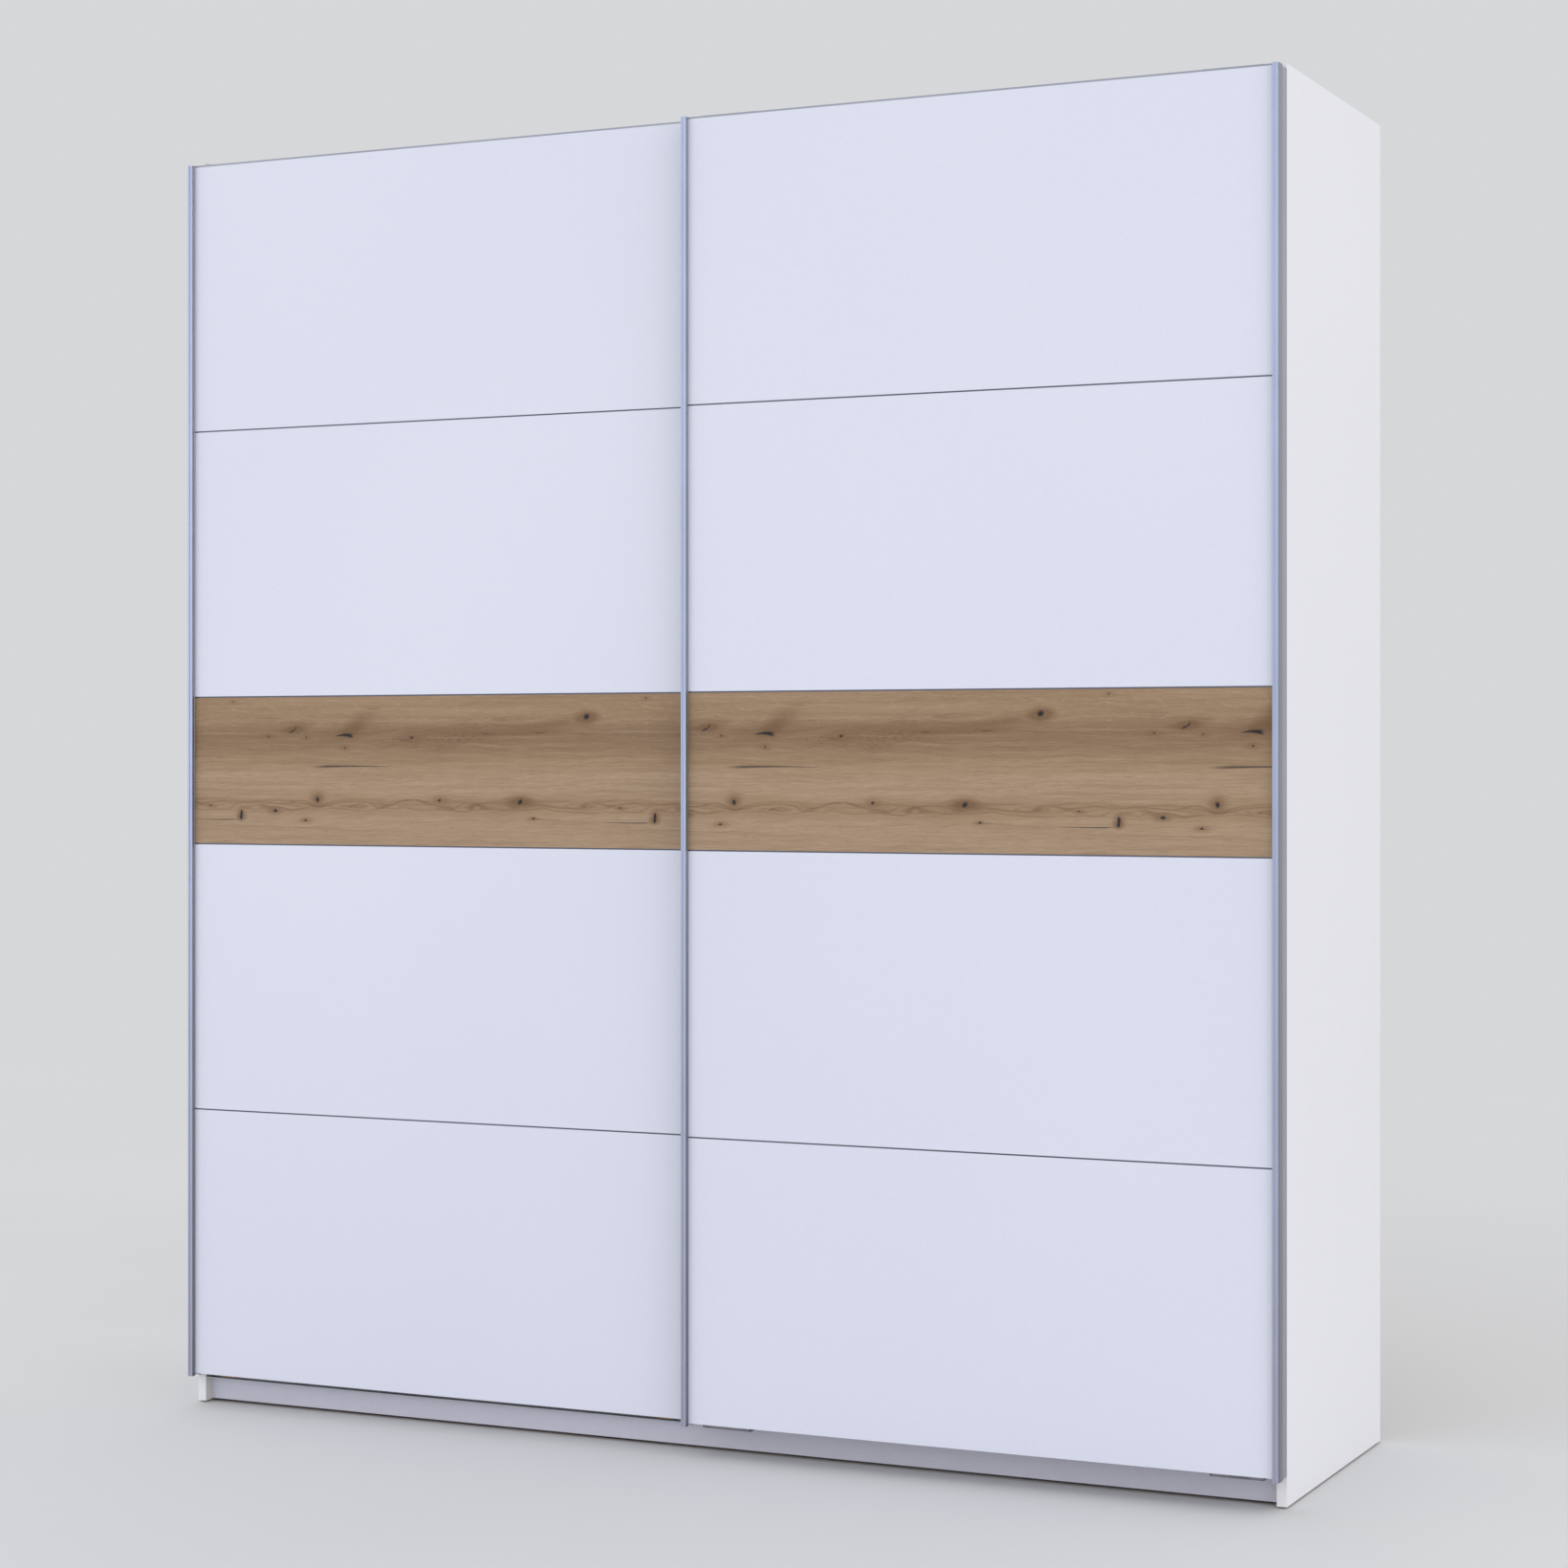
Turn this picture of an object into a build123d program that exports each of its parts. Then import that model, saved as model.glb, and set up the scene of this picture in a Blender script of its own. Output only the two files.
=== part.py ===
from build123d import *
import os

# Two-door sliding wardrobe. The doors stand in front of the carcass: the right door runs in front
# of the left one. Both hang from rollers on a double track on the lowered top panel and are
# steered by arms in a double-slot rail on the front edge of the bottom panel.
# All sizes are in millimetres. +X is right, -Y is the front, +Z is up, the floor is Z = 0.

# Carcass
carcass_width = 1994.0
carcass_height = 2200.0
carcass_depth = 545.0
board = 16.0
back_sheet = 3.0
back_inset = 10.0
back_groove_depth = 6.0
back_groove_play = 0.5
glide_height = 3.0
glide_radius = 6.0
glide_end_inset = 45.0
plinth_top = 45.0
plinth_floor_gap = 5.0
plinth_setback = 18.0
rear_plinth_setback = 60.0
joint_strip_width = 24.0
joint_strip_flange = 1.5

# Interior
shelf_level = 1790.0
shelf_setback = 30.0
shelf_side_play = 0.5
shelf_back_play = 2.0
pin_radius = 2.5
pin_depth = 6.0
pin_reach = 9.0
pin_collar_radius = 4.0
pin_collar = 1.0
pin_end_inset = 60.0
clothes_rail_height = 30.0
clothes_rail_width = 15.0
clothes_rail_wall = 1.2
clothes_rail_drop = 60.0
socket_plate = 3.0
socket_rim = 2.5
socket_reach = 12.0
socket_play = 0.2
rail_end_play = 0.5

# Cam fittings of the top and bottom panels
cam_radius = 7.5
cam_depth = 12.0
cam_end_distance = 34.0
cam_edge_inset = 90.0
cam_bolt_radius = 3.0
cam_bolt_seat = 10.0
cam_cross_length = 9.0
cam_cross_width = 1.6
cam_cross_depth = 2.0

# Doors
door_overhang = 3.0
door_overlap = 18.0
door_rise = 9.5
door_top_drop = 8.0
panel = 12.0
oak_panel_height = 256.5
white_panels = 4
cross_web = 2.5
cross_recess = 0.6
cross_flange_height = 22.0
cross_flange = 1.2
top_strip = 3.0
rear_clearance = 6.0
door_gap = 4.0
grip_reserve = 45.0

# Door stile extrusion
stile_wall = 1.5
stile_proud = 9.0
stile_face = 10.0
stile_flange = 12.0
stile_drop = 4.5
stile_panel_play = 0.5
stile_corner = 1.2
stile_flute_width = 3.0
stile_flute_depth = 0.8
stile_grip_height = 6.2
stile_grip_depth = 1.0
stile_hollow_wall = 1.5
stile_hollow_width = 3.0

# Carriages and guides, bent from sheet steel
plate = 2.5
bend_radius = 3.5
fitting_inset = 30.0
carriage_length = 96.0
carriage_leg = 72.0
arm_gap = 1.5
arm_pass_gap = 4.5
drop_gap = 1.3
plate_corner = 6.0
arm_window_length = 52.0
arm_window_share = 0.35
guide_length = 85.0
guide_leg = 56.0
guide_arm_gap = 1.0
guide_arm_entry = 11.0
slider_length = 60.0
slider_edge = 2.0
slider_play = 0.5
shoe_width = 25.0
shoe_depth = 4.0
shoe_gap = 0.5
shoe_pass_gap = 0.6
screw_slot_length = 12.0
screw_slot_width = 4.6
screw_spacing = 60.0
screw_radius = 2.0
screw_head_radius = 4.0
screw_head = 2.2
screw_bite = 9.0
screw_end_distance = 18.0

# Rollers and axles
roller_radius = 17.0
roller_width = 10.0
roller_spacing = 56.0
roller_gap = 0.3
roller_headroom = 2.5
roller_hub_radius = 6.5
roller_rim = 4.0
roller_recess = 2.5
roller_chamfer = 0.8
roller_holes = 5
roller_hole_radius = 2.0
axle_radius = 3.0
axle_clearance = 0.05
axle_side_play = 0.2
axle_shoulder = 0.8
axle_head = 2.0
axle_head_radius = 5.0

# Channel that closes the gap between the right side and the right door
gap_profile_width = 14.0
gap_profile_wall = 1.5
gap_profile_play = 1.2

# Double track on the top panel
track_front = 10.0
track_rear_margin = 6.0
track_base = 3.0
track_rib_height = 5.0
track_rib = 2.0
track_groove_play = 0.8
rear_plate_setback = 14.0
front_plate_setback = 48.0
track_screws = 6
track_screw_end = 60.0
stop_gap = 0.5
stop_height = 20.0
stop_rib_gap = 0.4
stop_nose = 3.0
stop_nose_radius = 4.0
stop_groove_play = 0.3

# Double-slot guide rail on the bottom panel's front edge
slot_play = 0.8
rail_wall = 1.5
rail_tongue = 2.0
rail_tongue_depth = 8.0

# Wall brackets against tipping
bracket_width = 40.0
bracket_leg = 45.0
bracket_plate = 2.0
bracket_bend = 3.0
bracket_side_inset = 250.0
bracket_hole_radius = 2.75
bracket_hole_rise = 30.0
bracket_screw_spacing = 20.0
bracket_screw_bite = 11.0

# Planes across the depth, from the front of the right door to the back of the sides
door_thickness = stile_wall + panel + stile_proud
door_pitch = door_thickness + door_gap
door_reach = rear_clearance + door_pitch + door_thickness
carcass_front = door_reach - (carcass_depth + door_reach) / 2
carcass_back = carcass_front + carcass_depth
back_rear = carcass_back - back_inset
back_front = back_rear - back_sheet
left_door_back = carcass_front - rear_clearance
right_door_back = left_door_back - door_pitch

# Planes across the width
side_outer = carcass_width / 2
side_inner = side_outer - board
partition_face = board / 2
door_outer = side_outer + door_overhang
door_width = door_outer + door_overlap / 2
slide_travel = door_width - door_overlap - grip_reserve

# Levels of the doors
door_bottom = plinth_top + door_rise
stile_bottom = door_bottom - stile_drop
door_top = carcass_height - door_top_drop
white_total = door_top - top_strip - door_bottom - oak_panel_height - white_panels * cross_web
white_panel_height = white_total / white_panels

# Levels of the running gear, from the right door's arm down to the top panel
right_arm_under = door_top + arm_gap
left_arm_under = right_arm_under - arm_pass_gap - plate
roller_axis = left_arm_under - roller_headroom - roller_radius
track_floor = roller_axis - roller_radius - roller_gap
track_rib_top = track_floor + track_rib_height
plate_bottom = track_rib_top + drop_gap
top_panel_top = track_floor - track_base
top_panel_under = top_panel_top - board
bottom_panel_top = plinth_top + board

# Levels of the guide rail, from the two guide arms
right_guide_under = stile_bottom - guide_arm_gap - plate
left_guide_under = door_bottom
lower_slot_top = right_guide_under + plate + slot_play
upper_slot_floor = left_guide_under - slot_play
rail_lip = upper_slot_floor - rail_wall - lower_slot_top
rail_bottom = right_guide_under - slot_play - rail_wall
rail_top = left_guide_under + plate + slot_play + rail_lip + rail_wall


def block(x0, x1, y0, y1, z0, z1):
    """A box between two corners."""
    middle = Pos((x0 + x1) / 2, (y0 + y1) / 2, (z0 + z1) / 2)
    return middle * Box(x1 - x0, y1 - y0, z1 - z0)


def rod(start, direction, radius, length):
    """A cylinder that starts at a point and runs along a direction."""
    return extrude(Plane(start, z_dir=direction) * Circle(radius), amount=length)


def along_x(face, x0, x1):
    """A profile drawn in Y and Z, extruded between two places on X."""
    return Pos(x0, 0, 0) * extrude(Plane.YZ * face, amount=x1 - x0)


def rectangle(u0, u1, v0, v1):
    """A flat rectangle between two corners."""
    return Pos((u0 + u1) / 2, (v0 + v1) / 2) * Rectangle(u1 - u0, v1 - v0)


def save(name, *solids):
    """Write one node, as one solid or as a group of separate solids."""
    shape = solids[0] if len(solids) == 1 else Compound(children=list(solids))
    export_step(shape, f"parts/{name}.step")


def screw(seat, direction, bite, plate_depth):
    """A pan-head screw: the head stands on the seat, the shank runs along the direction."""
    inward = Vector(*direction)
    shank = rod(seat, direction, screw_radius, plate_depth + bite)
    head = rod(seat, tuple(-inward), screw_head_radius, screw_head)
    rims = head.edges().filter_by(GeomType.CIRCLE)
    crown = [e for e in rims if (e.arc_center - Vector(*seat)).length > screw_head / 2]
    return fillet(crown, screw_head / 2) + shank


def side_panels():
    """Two sides with the back sheet's groove, the shelf-pin holes and the cam bolts' seats."""
    for name, turn in (("left", -1), ("right", 1)):
        outer, inner = turn * side_outer, turn * side_inner
        low, high = min(outer, inner), max(outer, inner)
        panel_body = block(low, high, carcass_front, carcass_back, glide_height, carcass_height)
        groove_end = inner + turn * back_groove_depth
        panel_body -= block(min(inner, groove_end), max(inner, groove_end), back_front, back_rear,
                            plinth_top, top_panel_top)
        for y, z in pin_places():
            panel_body -= rod((inner, y, z), (turn, 0, 0), pin_radius, pin_depth)
        for y in cam_places():
            for z in (bolt_level(top_panel_under), bolt_level(plinth_top)):
                panel_body -= rod((inner, y, z), (turn, 0, 0), cam_bolt_radius, cam_bolt_seat)
        save(f"side_panel_{name}", panel_body)


def cam_places():
    """The depth positions of the cam fittings at each end of a panel."""
    return (carcass_front + cam_edge_inset, back_front - cam_edge_inset)


def bolt_level(panel_under):
    """The height of the cam bolts in a panel."""
    return panel_under + board / 2


def cam_cuts(panel_body, under, face, into):
    """Cut the seats of the cams and their bolts at both ends of a horizontal panel."""
    for turn in (-1, 1):
        for y in cam_places():
            cam_x = turn * (side_inner - cam_end_distance)
            panel_body -= rod((cam_x, y, face), (0, 0, into), cam_radius, cam_depth)
            panel_body -= rod((turn * side_inner, y, bolt_level(under)), (-turn, 0, 0),
                              cam_bolt_radius, cam_end_distance)
    return panel_body


def top_panel():
    """The lowered top panel that carries the track."""
    panel_body = block(-side_inner, side_inner, carcass_front, back_front,
                       top_panel_under, top_panel_top)
    panel_body = cam_cuts(panel_body, top_panel_under, top_panel_top, -1)
    for x in track_screw_places():
        panel_body -= rod((x, track_screw_line, top_panel_top), (0, 0, -1), screw_radius, screw_bite)
    for x, y in bracket_screw_places():
        panel_body -= rod((x, y, top_panel_top), (0, 0, -1), screw_radius, bracket_screw_bite)
    save("top_panel", panel_body)


def bottom_panel():
    """The bottom panel, with a saw groove for the guide rail's tongue."""
    front = carcass_front + plinth_setback
    panel_body = block(-side_inner, side_inner, front, back_front, plinth_top, bottom_panel_top)
    panel_body = cam_cuts(panel_body, plinth_top, plinth_top, 1)
    low, high = tongue_levels()
    panel_body -= block(-side_inner, side_inner, front, front + rail_tongue_depth, low, high)
    save("bottom_panel", panel_body)


def tongue_levels():
    """The heights between which the guide rail's tongue lies."""
    middle = bolt_level(plinth_top)
    return middle - rail_tongue / 2, middle + rail_tongue / 2


def cam_fittings():
    """Cams with a cross slot, and the bolts that they pull on."""
    pieces = []
    for under, face, into in ((top_panel_under, top_panel_top, -1), (plinth_top, plinth_top, 1)):
        for turn in (-1, 1):
            for y in cam_places():
                cam_x = turn * (side_inner - cam_end_distance)
                cam = rod((cam_x, y, face), (0, 0, into), cam_radius, cam_depth)
                for length, width in ((cam_cross_length, cam_cross_width),
                                      (cam_cross_width, cam_cross_length)):
                    cam -= Pos(cam_x, y, face) * Box(length, width, 2 * cam_cross_depth)
                bolt_end = cam_bolt_seat + cam_end_distance - cam_radius
                bolt = rod((turn * (side_inner + cam_bolt_seat), y, bolt_level(under)),
                           (-turn, 0, 0), cam_bolt_radius, bolt_end)
                pieces += [cam, bolt - cam]
    save("cam_fittings", *pieces)


def partition_and_plinths():
    """The centre partition, both plinths and the support under the partition."""
    front = carcass_front + plinth_setback
    rear = back_front - rear_plinth_setback
    partition = block(-partition_face, partition_face, front, back_front,
                      bottom_panel_top, top_panel_under)
    for turn in (-1, 1):
        for y, z in pin_places():
            partition -= rod((turn * partition_face, y, z), (-turn, 0, 0), pin_radius, pin_depth)
    save("centre_partition", partition)
    save("plinth_front", block(-side_inner, side_inner, front, front + board,
                               plinth_floor_gap, plinth_top))
    save("plinth_rear", block(-side_inner, side_inner, rear - board, rear,
                              plinth_floor_gap, plinth_top))
    save("centre_support", block(-partition_face, partition_face, front + board, rear - board,
                                 glide_height, plinth_top))


def floor_glides():
    """Nail-on glides under the sides and the centre support."""
    support_front = carcass_front + plinth_setback + board + glide_end_inset
    support_rear = back_front - rear_plinth_setback - board - glide_end_inset
    side_ends = (carcass_front + glide_end_inset, carcass_back - glide_end_inset)
    places = [(turn * (side_outer - board / 2), y) for turn in (-1, 1) for y in side_ends]
    places += [(0, support_front), (0, support_rear)]
    save("floor_glides", *[rod((x, y, 0), (0, 0, 1), glide_radius, glide_height) for x, y in places])


def back_sheets():
    """Two hardboard sheets in the sides' grooves and the strip that joins them."""
    edge = side_inner + back_groove_depth - back_groove_play
    seam = joint_strip_flange / 2
    for name, x0, x1 in (("left", -edge, -seam), ("right", seam, edge)):
        save(f"back_sheet_{name}", block(x0, x1, back_front, back_rear, plinth_top, top_panel_top))
    half = joint_strip_width / 2
    strip = rectangle(-half, half, back_rear, back_rear + joint_strip_flange)
    strip += rectangle(-seam, seam, back_front, back_rear)
    save("back_joint_strip", Pos(0, 0, plinth_top) * extrude(strip, amount=top_panel_top - plinth_top))


def pin_places():
    """The depth and height of each shelf pin in a wall."""
    level = shelf_level - pin_radius
    shelf_front = carcass_front + shelf_setback
    return ((shelf_front + pin_end_inset, level), (back_front - pin_end_inset, level))


def shelves_and_rails():
    """A hat shelf on four pins and an oval clothes rail in two sockets, in each half."""
    pins = []
    sockets = []
    shelf_front = carcass_front + shelf_setback
    rail_y = (shelf_front + back_front) / 2
    rail_z = shelf_level - clothes_rail_drop
    oval = SlotOverall(clothes_rail_height, clothes_rail_width, rotation=90)
    bore = SlotOverall(clothes_rail_height - 2 * clothes_rail_wall,
                       clothes_rail_width - 2 * clothes_rail_wall, rotation=90)
    seat = SlotOverall(clothes_rail_height + 2 * socket_play,
                       clothes_rail_width + 2 * socket_play, rotation=90)
    cup = offset(seat, socket_rim)
    for name, turn in (("left", -1), ("right", 1)):
        walls = sorted((turn * partition_face, turn * side_inner))
        save(f"hat_shelf_{name}", block(walls[0] + shelf_side_play, walls[1] - shelf_side_play,
                                        shelf_front, back_front - shelf_back_play,
                                        shelf_level, shelf_level + board))
        rail_start = walls[0] + socket_plate + rail_end_play
        rail_end = walls[1] - socket_plate - rail_end_play
        save(f"clothes_rail_{name}",
             Pos(0, rail_y, rail_z) * along_x(oval - bore, rail_start, rail_end))
        for wall, inward in ((walls[0], 1), (walls[1], -1)):
            spans = sorted((wall, wall + inward * socket_plate))
            reach = sorted((wall + inward * socket_plate, wall + inward * socket_reach))
            socket = along_x(cup, *spans) + along_x(cup - seat, *reach)
            sockets.append(Pos(0, rail_y, rail_z) * socket)
            for y, z in pin_places():
                shank = rod((wall - inward * pin_depth, y, z), (inward, 0, 0), pin_radius,
                            pin_depth + pin_reach)
                collar = rod((wall, y, z), (inward, 0, 0), pin_collar_radius, pin_collar)
                ceiling = block(wall - pin_reach, wall + pin_reach, y - pin_reach, y + pin_reach,
                                shelf_level, shelf_level + pin_reach)
                pins.append(shank + collar - ceiling)
    save("shelf_pins", *pins)
    save("rail_sockets", *sockets)


# The two grooves of the track lie under the rollers, and its screws between them
roller_offset = plate + axle_shoulder + axle_side_play + roller_width / 2
left_groove = carcass_front + rear_plate_setback + roller_offset
right_groove = carcass_front + front_plate_setback + roller_offset
groove_half = roller_width / 2 + track_groove_play
track_screw_line = (left_groove + right_groove) / 2


def track_screw_places():
    """The positions of the track's screws along the width."""
    first = side_inner - track_screw_end
    step = 2 * first / (track_screws - 1)
    return [-first + step * i for i in range(track_screws)]


def top_track():
    """The aluminium double track, with a pair of ribs beside each groove. Returns its screws."""
    rear = right_groove + groove_half + track_rib + track_rear_margin
    profile = rectangle(carcass_front + track_front, rear, top_panel_top, track_floor)
    for groove in (left_groove, right_groove):
        for edge in (groove - groove_half - track_rib, groove + groove_half):
            profile += rectangle(edge, edge + track_rib, track_floor, track_rib_top)
    track = along_x(profile, -side_inner, side_inner)
    screws = []
    for x in track_screw_places():
        track -= rod((x, track_screw_line, track_floor), (0, 0, -1), screw_radius, track_base)
        screws.append(screw((x, track_screw_line, track_floor), (0, 0, -1), screw_bite, track_base))
    save("top_track", track)
    return screws


def track_stops():
    """Buffers at both ends of each groove, which meet the end of a carriage."""
    stops = []
    shut = door_outer - fitting_inset + stop_gap
    opened = slide_travel + door_overlap / 2 - fitting_inset + stop_gap
    foot = groove_half - stop_groove_play
    saddle = track_rib_top + stop_rib_gap
    for groove, setback, opening in ((left_groove, rear_plate_setback, 1),
                                     (right_groove, front_plate_setback, -1)):
        front = carcass_front + setback
        rear = groove + groove_half + track_rib
        for face in (-opening * shut, opening * opened):
            side = face / abs(face)
            body_face = face + side * stop_nose
            x0, x1 = sorted((body_face, side * side_inner))
            stop = block(x0, x1, front, rear, saddle, track_rib_top + stop_height)
            stop += block(x0, x1, groove - foot, groove + foot, track_floor, saddle)
            nose_start = (body_face, front + stop_nose_radius, track_rib_top + stop_height / 2)
            stops.append(stop + rod(nose_start, (-side, 0, 0), stop_nose_radius, stop_nose))
    save("track_stops", *stops)


def guide_rail():
    """The double-slot rail: two chambers, each behind a lip, one above the other."""
    front = carcass_front
    rear = carcass_front + plinth_setback
    profile = rectangle(front, rear, rail_bottom, rail_top)
    floors = ((rail_bottom + rail_wall, lower_slot_top),
              (upper_slot_floor, left_guide_under + plate + slot_play))
    for floor, slot_top in floors:
        profile -= rectangle(front + rail_wall, rear - rail_wall, floor, slot_top + rail_lip)
        profile -= rectangle(front, front + rail_wall, floor, slot_top)
    low, high = tongue_levels()
    profile += rectangle(rear, rear + rail_tongue_depth, low, high)
    save("guide_rail", along_x(profile, -side_inner, side_inner))


def bracket_screw_places():
    """The screws of the wall brackets in the top panel."""
    y = back_front - bracket_leg / 2
    half = bracket_screw_spacing / 2
    return [(turn * bracket_side_inset + side * half, y) for turn in (-1, 1) for side in (-1, 1)]


def wall_brackets():
    """Two angle brackets behind the track, flush with the back of the sides. Returns their screws."""
    brackets = []
    back_y = carcass_back - bracket_plate / 2
    base_z = top_panel_top + bracket_plate / 2
    path = FilletPolyline((back_front - bracket_leg, base_z), (back_y, base_z),
                          (back_y, top_panel_top + bracket_leg), radius=bracket_bend)
    profile = trace(path, line_width=bracket_plate)
    for turn in (-1, 1):
        middle = turn * bracket_side_inset
        bracket = along_x(profile, middle - bracket_width / 2, middle + bracket_width / 2)
        hole_z = top_panel_top + bracket_hole_rise
        bracket -= rod((middle, carcass_back, hole_z), (0, -1, 0), bracket_hole_radius, bracket_plate)
        for x, y in bracket_screw_places():
            bracket -= rod((x, y, top_panel_top), (0, 0, 1), screw_radius, bracket_plate)
        brackets.append(bracket)
    save("wall_brackets", *brackets)
    seat = top_panel_top + bracket_plate
    return [screw((x, y, seat), (0, 0, -1), bracket_screw_bite, bracket_plate)
            for x, y in bracket_screw_places()]


def gap_profile():
    """The channel on the right side's front edge, which closes the gap behind the right door."""
    front = right_door_back + gap_profile_play
    inner = side_outer - gap_profile_width
    profile = rectangle(side_outer - gap_profile_wall, side_outer, front, carcass_front)
    for y in (front, carcass_front - gap_profile_wall):
        profile += rectangle(inner, side_outer, y, y + gap_profile_wall)
    channel = extrude(profile, amount=door_top - stile_bottom)
    save("gap_profile_right", Pos(0, 0, stile_bottom) * channel)


def stile_profile():
    """The door stile's section, with the door's edge at X = 0 and the door's back at Y = 0.

    The head in front of the panel has a flute in its face and a hollow flank on each side."""
    panel_front = stile_wall + panel
    face = panel_front + stile_proud
    middle = stile_face / 2
    profile = rectangle(0, stile_wall, -panel_front, 0)
    profile += rectangle(0, stile_flange, -stile_wall, 0)
    profile += rectangle(0, stile_face, -face, -panel_front)
    front_corners = [v for v in profile.vertices() if abs(v.Y + face) < stile_corner / 2]
    profile = fillet(front_corners, stile_corner)
    grip_radius = ((stile_grip_height / 2) ** 2 + stile_grip_depth ** 2) / (2 * stile_grip_depth)
    grip_out = grip_radius - stile_grip_depth
    for x in (-grip_out, stile_face + grip_out):
        profile -= Pos(x, -(panel_front + face) / 2) * Circle(grip_radius)
    hollow_front = face - stile_flute_depth - stile_hollow_wall
    hollow_rear = panel_front + stile_hollow_wall
    hollow_half = stile_hollow_width / 2
    profile -= rectangle(middle - hollow_half, middle + hollow_half, -hollow_front, -hollow_rear)
    profile -= Pos(middle, -face) * Rectangle(stile_flute_width, 2 * stile_flute_depth)
    return profile


def bent_fitting(points, length, middle):
    """A strip of sheet steel bent along a path of depth and height, centred on X."""
    profile = trace(FilletPolyline(*points, radius=bend_radius), line_width=plate)
    return along_x(profile, middle - length / 2, middle + length / 2)


def round_corners(fitting, level):
    """Round the free corners of a bent fitting at one height."""
    corners = [e for e in fitting.edges().filter_by(Axis.Y) if abs(e.center().Z - level) < plate / 4]
    return fillet(corners, plate_corner)


def upright_slot(x, y, z):
    """A cutter for a screw slot through an upright leg."""
    slot = extrude(SlotOverall(screw_slot_length, screw_slot_width, rotation=90), amount=plate, both=True)
    return Pos(x, y, z) * Rot(90, 0, 0) * slot


def roller(x, front):
    """A roller with a hub, a recessed web and a ring of holes, turning about Y."""
    bore = axle_radius + axle_clearance
    rim = roller_radius - roller_rim
    half = roller_width / 2
    web = half - roller_recess
    outline = Polyline((bore, -half), (roller_hub_radius, -half), (roller_hub_radius, -web),
                       (rim, -web), (rim, -half), (roller_radius - roller_chamfer, -half),
                       (roller_radius, -half + roller_chamfer), (roller_radius, half - roller_chamfer),
                       (roller_radius - roller_chamfer, half), (rim, half), (rim, web),
                       (roller_hub_radius, web), (roller_hub_radius, half), (bore, half), close=True)
    wheel = revolve(make_face(outline), Axis.Y)
    ring = (roller_hub_radius + rim) / 2
    for place in PolarLocations(ring, roller_holes):
        wheel -= Rot(90, 0, 0) * place * Cylinder(roller_hole_radius, roller_width)
    return Pos(x, front + half, roller_axis) * wheel


def axle(x, plate_front):
    """A riveted axle: through the plate, with a shoulder before the roller and a head behind it."""
    shoulder_start = plate_front + plate
    head_start = shoulder_start + axle_shoulder + 2 * axle_side_play + roller_width
    pin = rod((x, plate_front, roller_axis), (0, 1, 0), axle_radius, head_start - plate_front)
    pin += rod((x, shoulder_start, roller_axis), (0, 1, 0), axle_head_radius, axle_shoulder)
    return pin + rod((x, head_start, roller_axis), (0, 1, 0), axle_head_radius, axle_head)


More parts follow.
